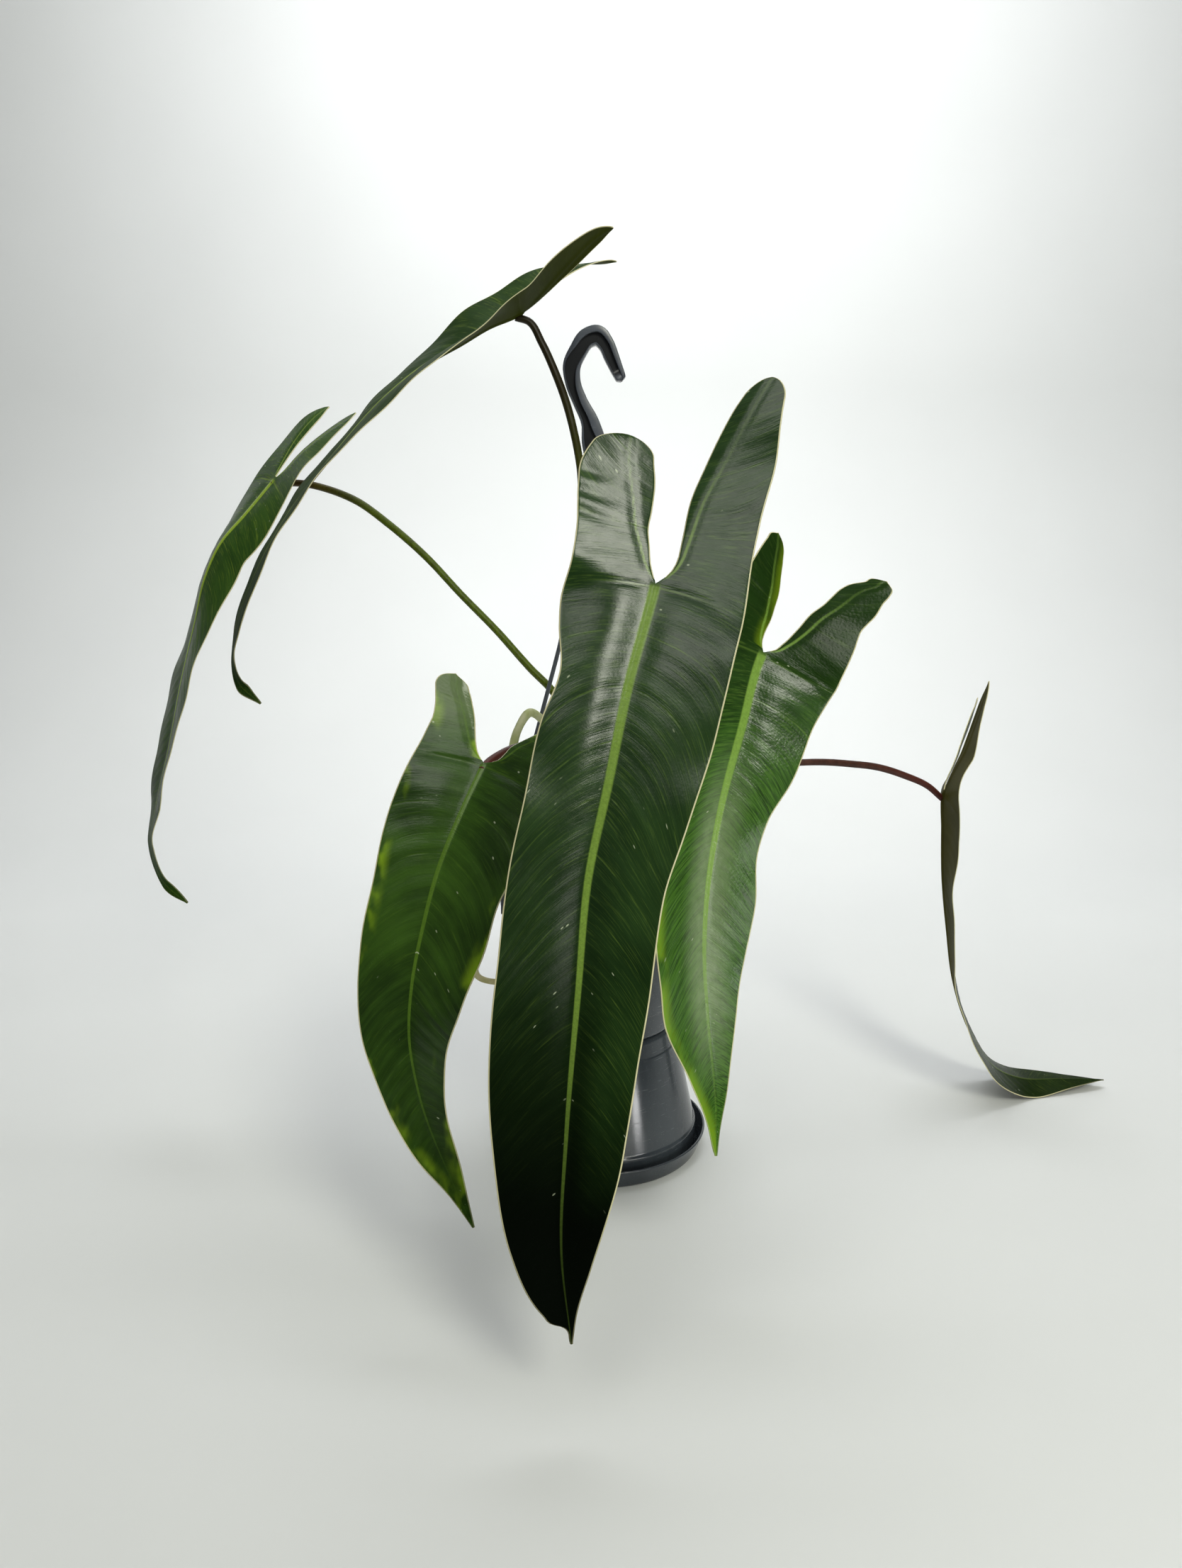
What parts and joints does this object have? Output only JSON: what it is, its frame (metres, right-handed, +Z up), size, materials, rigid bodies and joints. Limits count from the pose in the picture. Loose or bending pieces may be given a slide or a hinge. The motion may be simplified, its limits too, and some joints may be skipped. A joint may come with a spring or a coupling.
{
  "type": "potted philodendron spiritus-sancti",
  "caption": "Potted climbing aroid with long narrow arrow-shaped hanging leaves, in a hook-hung nursery pot standing on an upturned pot in a saucer.",
  "frame": {"origin": "middle of the saucer's flat underside, on the pots' axis and on the surface that the part stands on", "axes": "+Z up along the pots' axis, -Y towards the side that the large front leaf hangs on, +X towards the leaf that reaches down to the surface"},
  "size_m": [0.6211, 0.322, 0.5183],
  "materials": {
    "pot_plastic": "glossy anthracite moulded plastic",
    "hanger_plastic": "satin anthracite moulded plastic",
    "bark_mix": "matt, coarse bark and chips",
    "stem_green": "satin, with leaf scars",
    "root_pale": "matt",
    "stalk_olive": "satin, speckled",
    "stalk_red": "satin",
    "leaf_dark": "leathery with a soft sheen, pale midrib and margin",
    "leaf_green": "leathery with a soft sheen, pale midrib and margin"
  },
  "bodies": {
    "root": {"saucer": "pot_plastic", "stand_pot": "pot_plastic", "hanging_pot": "pot_plastic", "hanger": "hanger_plastic", "substrate": "bark_mix", "stem": "stem_green", "aerial_root": "root_pale", "petiole_front": "stalk_olive", "blade_front": "leaf_dark", "petiole_left": "stalk_red", "blade_left": "leaf_green", "petiole_right": "stalk_olive", "blade_right": "leaf_green", "petiole_top": "stalk_red", "blade_top": "leaf_dark", "petiole_far_left": "stalk_olive", "blade_far_left": "leaf_dark", "petiole_far_right": "stalk_red", "blade_far_right": "leaf_green"}
  },
  "joints": []
}
